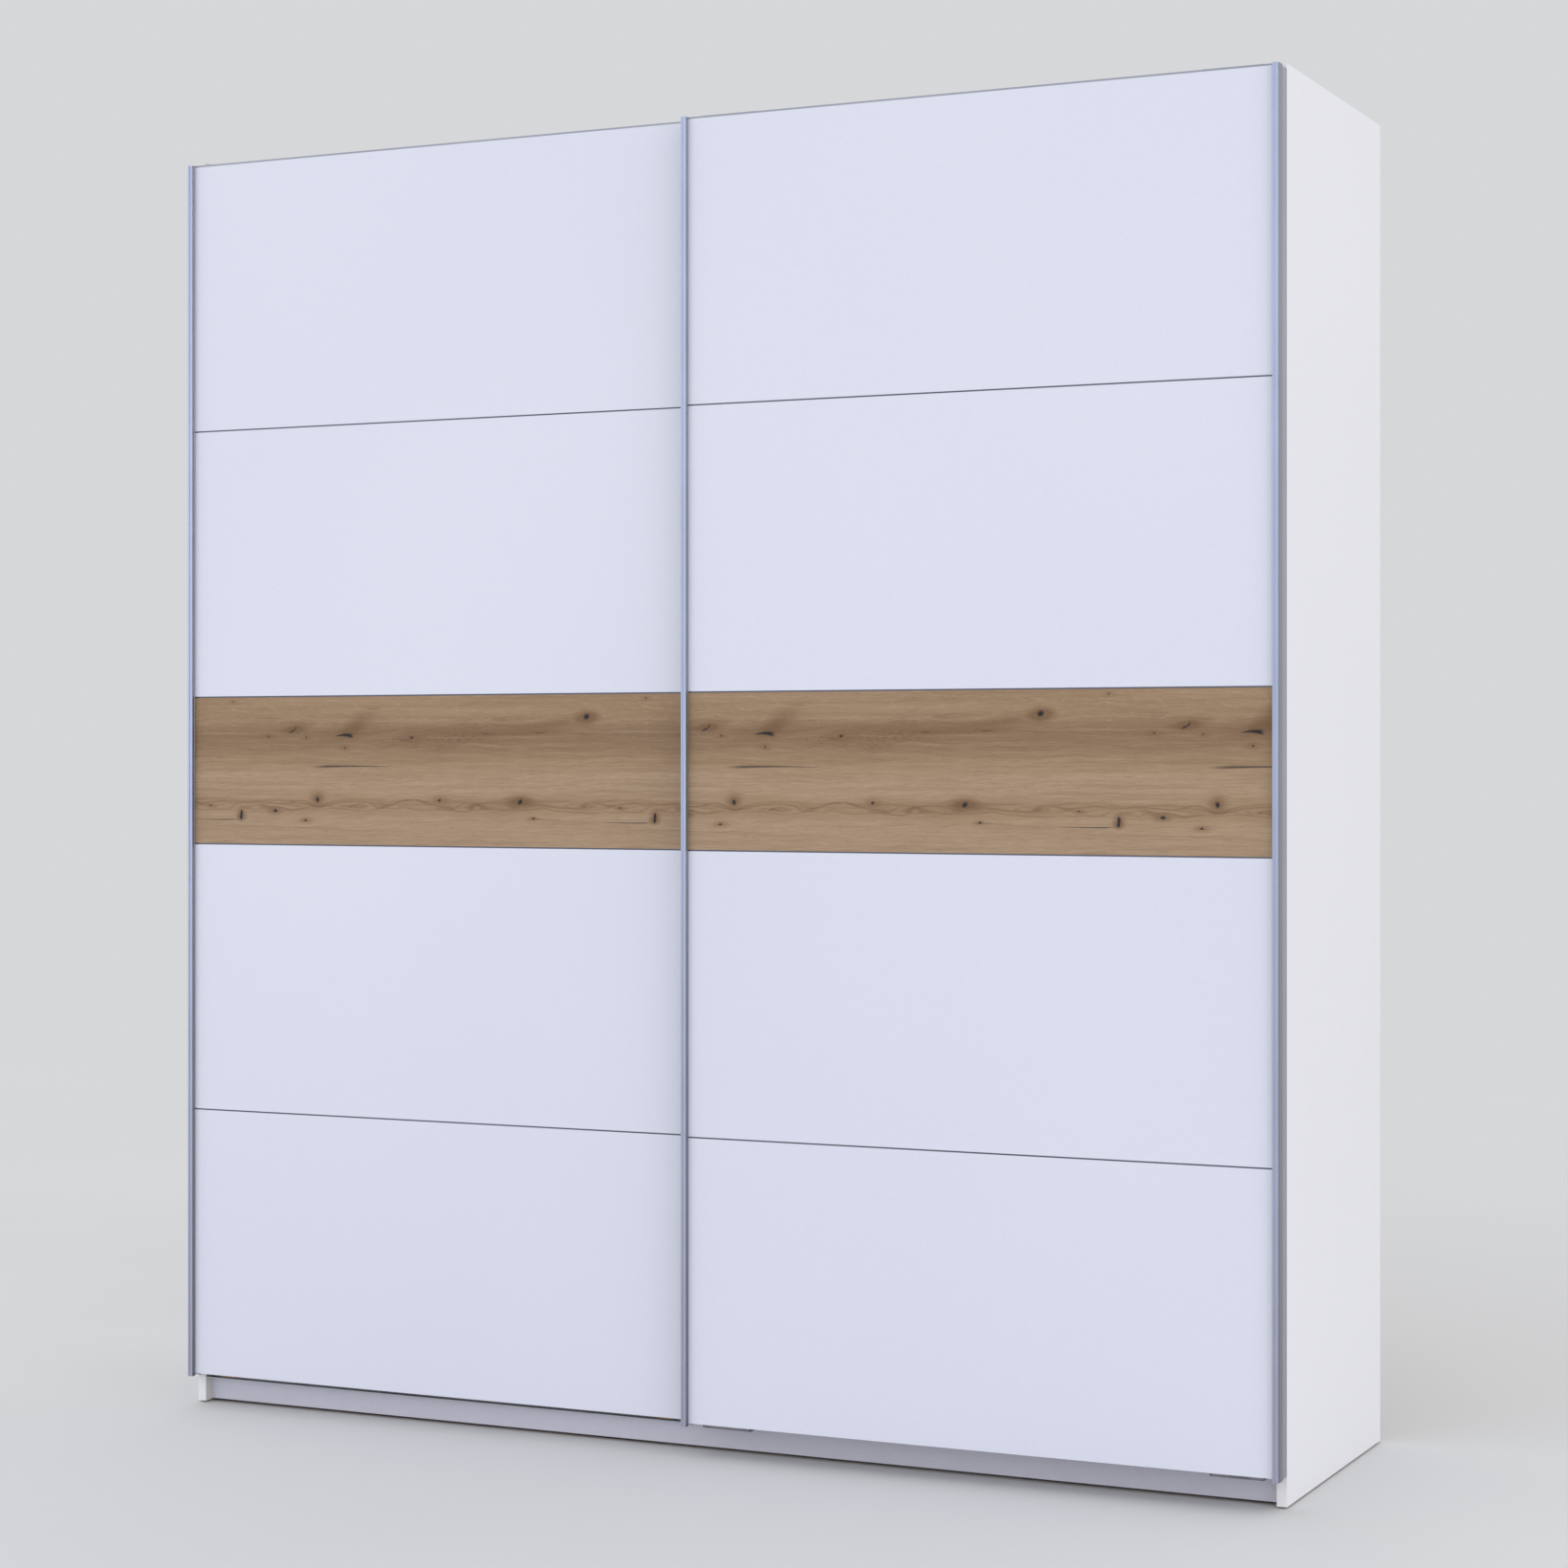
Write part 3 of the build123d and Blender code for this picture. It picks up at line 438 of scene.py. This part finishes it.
    def add_eye(self, mark_along, mark_up, length, height):
        away = self.from_mark(mark_along, mark_up, self.shaken)
        run = self.math("ABSOLUTE", self.vector("DOT_PRODUCT", away, (1 / length, 0.0, 0.0)))
        rise = self.vector("DOT_PRODUCT", away, (0.0, 1 / height, 0.0))
        wide = self.math("ADD", run, self.math("MULTIPLY", rise, rise))
        bend = self.pull(away, wide, end=1.5, strength=0.85)
        wave = self.math("SINE", self.math("MULTIPLY", wide, EYE_RINGS))
        rings = self.math("MULTIPLY", self.span(wave, 0.0, 1.0), self.fade(wide, 0.5, 1.5, strength=0.3))
        self.add_mark(0.0, rings, bend)

    def draw_bands(self, bend):
        self.sway = self.centred(self.grain_noise(self.plain, along=0.007, across=0.012))
        band_up = self.math("ADD", self.math("SUBTRACT", self.up, self.math("MULTIPLY", bend, 0.4)),
                            self.math("MULTIPLY", self.sway, BAND_SWAY))
        self.colour = self.ramp(self.math("DIVIDE", band_up, OAK_HEIGHT), OAK_BANDS)

    def draw_arches(self):
        """Rings like parabolas that open along the grain in the upper dark band."""
        arch_along, arch_up, slope, closing, spacing = OAK_ARCH
        away = self.from_mark(arch_along, arch_up, self.shaken)
        off_axis = self.math("ADD", self.vector("DOT_PRODUCT", away, (-slope, 1.0, 0.0)),
                             self.math("MULTIPLY", self.sway, ARCH_SWAY))
        wobble = self.grain_noise(self.plain, along=0.02, across=0.06)
        run = self.math("ADD", self.vector("DOT_PRODUCT", away, RIGHT),
                        self.math("MULTIPLY", wobble, ARCH_WOBBLE))
        curve = self.math("MULTIPLY", self.math("MULTIPLY", off_axis, off_axis), closing)
        apex = self.math("SUBTRACT", run, curve)
        saw = self.math("FRACT", self.math("DIVIDE", apex, spacing))
        rings = self.math("MULTIPLY", self.span(saw, 0.1, 0.9), self.fade(saw, 0.88, 1.0))
        rings = self.math("MULTIPLY", rings, self.span(wobble, 0.35, 0.6, to_low=0.2, to_high=0.52))
        inside = self.math("MULTIPLY", self.fade(apex, *ARCH_END), self.fade(run, *ARCH_REACH))
        inside = self.math("MULTIPLY", self.span(apex, *ARCH_START), inside)
        self.tint(self.math("MULTIPLY", rings, inside), ARCH_TONE)

    def draw_seams(self):
        """Thin brown lines that wander up and down, so that two of them enclose an eye."""
        slow = 0.011
        seams = 0.0
        for seam_up, wander, seed, thickness, depth in OAK_SEAMS:
            path = self.noise(self.join(self.math("MULTIPLY", self.round_x, slow),
                                        self.math("MULTIPLY", self.round_y, slow), seed), detail=1.0)
            off = self.math("SUBTRACT", self.math("SUBTRACT", self.bent, seam_up),
                            self.math("MULTIPLY", self.centred(path), wander))
            seams = self.math("ADD", seams, self.fade(self.math("ABSOLUTE", off), 0.0, thickness, depth))
        self.tint(self.math("MINIMUM", seams, SEAM_LIMIT), SEAM_TONE)

    def draw_grain(self):
        """Straight grain: broad streaks and fine fibres, both with dark and pale lines."""
        grain = self.join(self.round_x, self.round_y, self.bent)
        streak = self.grain_noise(grain, along=0.0035, across=0.17, detail=3.0, rough=0.6)
        self.tint(self.fade(streak, 0.32, 0.55, strength=0.24), STREAK_DARK)
        self.tint(self.span(streak, 0.52, 0.72, to_high=0.22), STREAK_PALE)
        fibre = self.grain_noise(grain, along=0.026, across=1.0, detail=3.0, rough=0.65)
        self.tint(self.fade(fibre, 0.30, 0.60, strength=0.30), FIBRE_DARK)
        self.tint(self.span(fibre, 0.55, 0.78, to_high=0.25), FIBRE_PALE)

    def draw_pores(self):
        """Open pores everywhere, and pale flecks at some heights. Gives back the pores."""
        pores = self.span(self.grain_noise(self.plain, along=0.06, across=2.1, detail=1.0), 0.63, 0.73)
        self.tint(self.math("MULTIPLY", pores, PORE_DEPTH), PORE_TONE)
        flecks = self.grain_noise(self.plain, along=0.075, across=0.42, detail=1.0)
        flecks = self.span(flecks, 0.58, 0.72, to_high=0.26)
        quiet = self.math("ADD", self.span(self.up, *FLECKS_AGAIN),
                          self.span(self.up, *FLECKS_IN, to_high=0.5))
        quiet = self.math("MULTIPLY", quiet, self.math(
            "SUBTRACT", 1.0, self.span(self.up, *FLECKS_THIN, to_high=0.5)))
        self.tint(self.math("MULTIPLY", flecks, quiet), FLECK_TONE)
        return pores


# Metal and plastic

DIE_LINES_ALONG_X = (14.0, 2600.0, 2600.0)
DIE_LINES_ALONG_Z = (2600.0, 2600.0, 14.0)


def extrusion(name, die_lines, metallic=0.9):
    """An anodised extrusion's shader, the fine die lines along it and their relief."""
    made = Shader(name, metallic=metallic)
    lines = made.noise(made.scaled(die_lines), detail=3.0, rough=0.6)
    return made, lines, made.bump(lines, distance=0.00006, strength=0.5)


def with_drift(made, lines):
    """Die lines over a slow drift of tone."""
    drift = made.noise(made.place, scale=9.0, detail=3.0)
    return made.weigh(lines, drift, share=0.6)


def track_profile():
    made, lines, relief = extrusion("track_anodised", DIE_LINES_ALONG_X)
    share = made.span(with_drift(made, lines), *MIDDLE)
    colour = made.mix(share, srgb(178, 180, 186), srgb(196, 198, 203))
    return made.finish(colour, made.span(lines, *MOST, to_low=0.3, to_high=0.42), relief)


def grip_profile(name, shaded_foot, head):
    """Anodised stile with a bluish face and grey flanks. The face is partly its own bluish anodised tone,
    and painted reflection makes it bluer than the flanks and paler towards the head; painted shade makes
    the flanks darker towards the foot.
    """
    made, lines, relief = extrusion(name, DIE_LINES_ALONG_Z, metallic=0.85)
    height = made.math("DIVIDE", made.split(made.place)[2], cad_box[1].z)
    # Painted reflection: the face's tone by height, paler and bluer towards the head
    face = made.ramp(height, [(0.0, srgb(183, 184, 207)), (0.3, srgb(181, 188, 215)),
                              (0.6, srgb(179, 190, 220)), (1.0, srgb(192, 205, 236))])
    # Painted shade: the flanks darken from the head's tone down to the foot's
    flank_painted_shade = made.mix(height, shaded_foot, head)
    # Faces turned to the front take the face's painted reflection, and all other faces take the flanks'
    # painted shade
    colour = made.mix(made.towards(FRONT, low=0.6, high=0.95), flank_painted_shade, face)
    dull = made.fade(with_drift(made, lines), *MIDDLE, strength=0.12)
    colour = made.mix(dull, colour, srgb(96, 100, 112))
    return made.finish(colour, made.span(lines, *MOST, to_low=0.3, to_high=0.42), relief)


def strip_profile():
    """Anodised T-strips: darker in the lines between the panels, paler on the strip along the door's head.
    """
    made, lines, relief = extrusion("strip_anodised", DIE_LINES_ALONG_X)
    share = made.span(lines, *MIDDLE)
    between = made.mix(share, srgb(95, 96, 107), srgb(105, 106, 118))
    along_head = made.mix(share, srgb(158, 160, 174), srgb(170, 172, 186))
    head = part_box("left_door_cross_strips")[1].z
    # Only the strip along the head lies this close to the top of all strips
    on_head = made.span(made.split(made.place)[2], head - 0.008, head - 0.006)
    colour = made.mix(on_head, between, along_head)
    return made.finish(colour, made.span(lines, *MOST, to_low=0.32, to_high=0.44), relief)


def plated_steel(name, tone, shade, roughness=0.32):
    """Zinc plate: a cloudy spangle, fine rolling scratches and a trace of yellow."""
    made = Shader(name, metallic=1.0)
    spangle = made.cells(made.place, scale=160.0)
    cloud = made.noise(made.place, scale=45.0, detail=4.0)
    colour = made.mix(made.span(made.weigh(spangle, cloud, share=0.35), 0.25, 0.75), shade, tone)
    colour = made.mix(made.span(cloud, 0.55, 0.8, to_high=0.25), colour, srgb(205, 190, 150))
    scratch = made.noise(made.scaled((1600.0, 40.0, 1600.0)))
    gloss = made.span(scratch, *MOST, to_low=roughness - 0.08, to_high=roughness + 0.1)
    return made.finish(colour, gloss, made.bump(scratch, distance=0.00004, strength=0.4))


def chrome():
    """Chromed tube with faint draw lines and finger-dulled patches."""
    made = Shader("chromed_tube", metallic=1.0)
    lines = made.noise(made.scaled((8.0, 1500.0, 1500.0)))
    dull = made.noise(made.place, scale=14.0, detail=4.0)
    gloss = made.span(dull, 0.35, 0.75, to_low=0.08, to_high=0.22)
    colour = made.mix(lines, srgb(214, 216, 220), srgb(228, 230, 233))
    return made.finish(colour, gloss, made.bump(lines, distance=0.00002, strength=0.3))


def moulded(name, tone, shade, roughness=0.5, scatter=0.0):
    """Moulded plastic: spark-eroded grain and flow marks."""
    made = Shader(name)
    flow = made.noise(made.place, scale=60.0, detail=3.0, distortion=1.5)
    grain = made.noise(made.place, scale=2200.0)
    colour = made.mix(made.span(flow, *MOST), shade, tone)
    gloss = made.span(grain, *MOST, to_low=roughness - 0.06, to_high=roughness + 0.08)
    made.surface.inputs["Subsurface Weight"].default_value = scatter
    made.surface.inputs["Subsurface Radius"].default_value = (0.003, 0.002, 0.0015)
    return made.finish(colour, gloss, made.bump(grain, distance=0.00008, strength=0.5))


# Which node wears what

def dress(material, *names):
    for name in names:
        piece = nodes[name]
        piece.data.materials.clear()
        piece.data.materials.append(material)


def soften(width, *names):
    """Round the arrises of nodes with modifiers, so that their edges catch the light."""
    for name in names:
        piece = nodes[name]
        weld = piece.modifiers.new("weld", "WELD")
        weld.merge_threshold = 0.00002
        bevel = piece.modifiers.new("arris", "BEVEL")
        bevel.width = width
        bevel.segments = 2
        bevel.limit_method = "ANGLE"
        bevel.angle_limit = math.radians(40)
        bevel.use_clamp_overlap = False


white_door = door_white()
# Flank tones at the foot and the head: the darker foot is painted shade
stile_finish = grip_profile("stile_anodised", srgb(134, 134, 140), srgb(170, 170, 178))
gap_finish = grip_profile("gap_anodised", srgb(167, 167, 179), srgb(186, 187, 200))
strip_finish = strip_profile()
track_finish = track_profile()
zinc = plated_steel("zinc_plate", srgb(206, 208, 212), srgb(170, 173, 178))
dull_steel = plated_steel("dull_plate", srgb(158, 158, 165), srgb(130, 131, 137), roughness=0.4)
fastener = plated_steel("zinc_fastener", srgb(196, 198, 202), srgb(158, 160, 165), roughness=0.28)
nylon = moulded("roller_nylon", srgb(222, 220, 210), srgb(208, 205, 194), roughness=0.42, scatter=0.1)
amber = moulded("amber_nylon", srgb(196, 142, 66), srgb(170, 116, 48), roughness=0.4, scatter=0.1)
grey = moulded("grey_plastic", srgb(172, 173, 176), srgb(156, 157, 161))

# Where the oak's repeat starts on each door, in millimetres
OAK_SHIFTS = {"left_door": 1000.0, "right_door": 182.0}

for door, oak_shift in OAK_SHIFTS.items():
    for place in ("bottom", "lower", "upper", "top"):
        dress(white_door, f"{door}_panel_{place}")
    dress(Oak(f"{door}_oak_decor", oak_shift).material, f"{door}_panel_oak")
    dress(stile_finish, f"{door}_stile_left", f"{door}_stile_right")
    dress(strip_finish, f"{door}_cross_strips")
    dress(zinc, f"{door}_carriages")
    dress(dull_steel, f"{door}_guides")
    dress(fastener, f"{door}_axles", f"{door}_screws")
    dress(nylon, *[f"{door}_roller_{number}" for number in range(1, 5)])
    dress(amber, f"{door}_guide_sliders")

dress(carcass_board("side_board_left", [REAR, DOWN], inner_side=RIGHT), "side_panel_left")
dress(carcass_board("side_board_right", [REAR, DOWN], inner_side=LEFT), "side_panel_right")
dress(carcass_board("top_board", [REAR, LEFT, RIGHT], inner_side=DOWN), "top_panel")
dress(carcass_board("bottom_board", [REAR, LEFT, RIGHT], inner_side=UP), "bottom_panel")
# The plinth boards and the centre support wear the darker, cooler white that is painted shade
dress(carcass_board("plinth_board_painted_shade", [DOWN, UP], tone=PLINTH_PAINTED_SHADE_TONE),
      "plinth_front", "plinth_rear", "centre_support")
dress(interior_board(), "centre_partition", "hat_shelf_left", "hat_shelf_right")
dress(hardboard(), "back_sheet_left", "back_sheet_right")
dress(track_finish, "top_track", "guide_rail")
dress(gap_finish, "gap_profile_right")
dress(zinc, "wall_brackets")
dress(fastener, "fixing_screws", "cam_fittings", "shelf_pins")
dress(chrome(), "clothes_rail_left", "clothes_rail_right")
dress(grey, "rail_sockets", "track_stops", "back_joint_strip", "floor_glides")

soften(0.0006, "plinth_front", "plinth_rear", "hat_shelf_left", "hat_shelf_right")


# Studio: a pale floor that fades into an even pale surround, and soft lamps

SURROUND = srgb(214, 215, 217)
WORLD_STRENGTH = 1.03
FLOOR_REACH = 60.0
# From where to where the floor fades into the surround
FLOOR_FADE = (2.5, 9.0)
# Lamps: name, place, target, side of the square, power
LAMPS = (
    ("key", (6.8, -3.2, 2.1), (0.5, 0.0, 1.0), 4.0, 66),
    ("front", (-2.4, -7.6, 2.1), (0.0, 0.0, 1.0), 4.0, 30),
    ("fill", (-6.6, -6.4, 1.7), (-1.0, 0.0, 1.1), 3.0, 34),
)


def seen_directly(tree):
    """1 for rays from the camera, off a mirror or through glass, which see the plain surround."""
    path = tree.nodes.new("ShaderNodeLightPath")
    seen = path.outputs["Is Camera Ray"]
    for other in ("Is Glossy Ray", "Is Transmission Ray"):
        either = tree.nodes.new("ShaderNodeMath")
        either.operation = "MAXIMUM"
        tree.links.new(seen, either.inputs[0])
        tree.links.new(path.outputs[other], either.inputs[1])
        seen = either.outputs[0]
    return seen


def studio_floor():
    """A pale floor whose own shading gives way to the surround's colour far from the object."""
    made = Shader("studio_floor", roughness=0.8)
    made.finish(made.mix(made.noise(made.place, scale=0.8), srgb(208, 209, 211), srgb(214, 215, 217)))
    glow = made.node("ShaderNodeEmission", (SURROUND, 1.0))
    distance = made.span(made.vector("LENGTH", made.place), *FLOOR_FADE)
    share = made.math("MULTIPLY", distance, seen_directly(made.tree))
    blend = made.node("ShaderNodeMixShader", (share, made.surface.outputs[0], glow.outputs[0]))
    made.tree.links.new(blend.outputs[0], made.tree.nodes["Material Output"].inputs["Surface"])
    corners = [(x * FLOOR_REACH, y * FLOOR_REACH, 0) for x, y in ((-1, -1), (1, -1), (1, 1), (-1, 1))]
    mesh = bpy.data.meshes.new("studio_floor")
    mesh.from_pydata(corners, [], [(0, 1, 2, 3)])
    mesh.materials.append(made.material)
    sheet = bpy.data.objects.new("studio_floor", mesh)
    bpy.context.scene.collection.objects.link(sheet)


def studio_world():
    """An even surround: plain light on the object, the surround's colour where it is seen."""
    world = bpy.data.worlds.new("studio")
    bpy.context.scene.world = world
    world.use_nodes = True
    tree = world.node_tree
    light = tree.nodes["Background"]
    light.inputs["Color"].default_value = (1.0, 1.0, 1.0, 1.0)
    light.inputs["Strength"].default_value = WORLD_STRENGTH
    shown = tree.nodes.new("ShaderNodeBackground")
    shown.inputs["Color"].default_value = SURROUND
    blend = tree.nodes.new("ShaderNodeMixShader")
    tree.links.new(seen_directly(tree), blend.inputs[0])
    tree.links.new(light.outputs[0], blend.inputs[1])
    tree.links.new(shown.outputs[0], blend.inputs[2])
    tree.links.new(blend.outputs[0], tree.nodes["World Output"].inputs["Surface"])


def lamp(name, place, target, size, power):
    """A square soft lamp that points at a place."""
    light = bpy.data.lights.new(name, "AREA")
    light.shape = "SQUARE"
    light.size = size
    light.energy = power
    holder = bpy.data.objects.new(name, light)
    holder.location = place
    holder.rotation_euler = (Vector(target) - Vector(place)).to_track_quat("-Z", "Y").to_euler()
    bpy.context.scene.collection.objects.link(holder)


studio_floor()
studio_world()
for settings in LAMPS:
    lamp(*settings)

# The camera as found from the photo's vanishing points. It stands level, so the shift moves the horizon.
PHOTO_WIDTH = 1640
PHOTO_FOCAL = 3452
PHOTO_SHIFT = -24.35
SENSOR = 36.0

camera_data = bpy.data.cameras.new("photo_camera")
camera_data.sensor_width = SENSOR
camera_data.sensor_fit = "HORIZONTAL"
camera_data.lens = PHOTO_FOCAL / PHOTO_WIDTH * SENSOR
camera_data.shift_y = PHOTO_SHIFT / PHOTO_WIDTH
camera = bpy.data.objects.new("photo_camera", camera_data)
camera.location = (2.434, -5.116, 1.139)
camera.rotation_euler = (math.radians(90), 0.0, math.radians(25.1))
bpy.context.scene.collection.objects.link(camera)
bpy.context.scene.camera = camera
bpy.context.scene.view_settings.view_transform = "Standard"
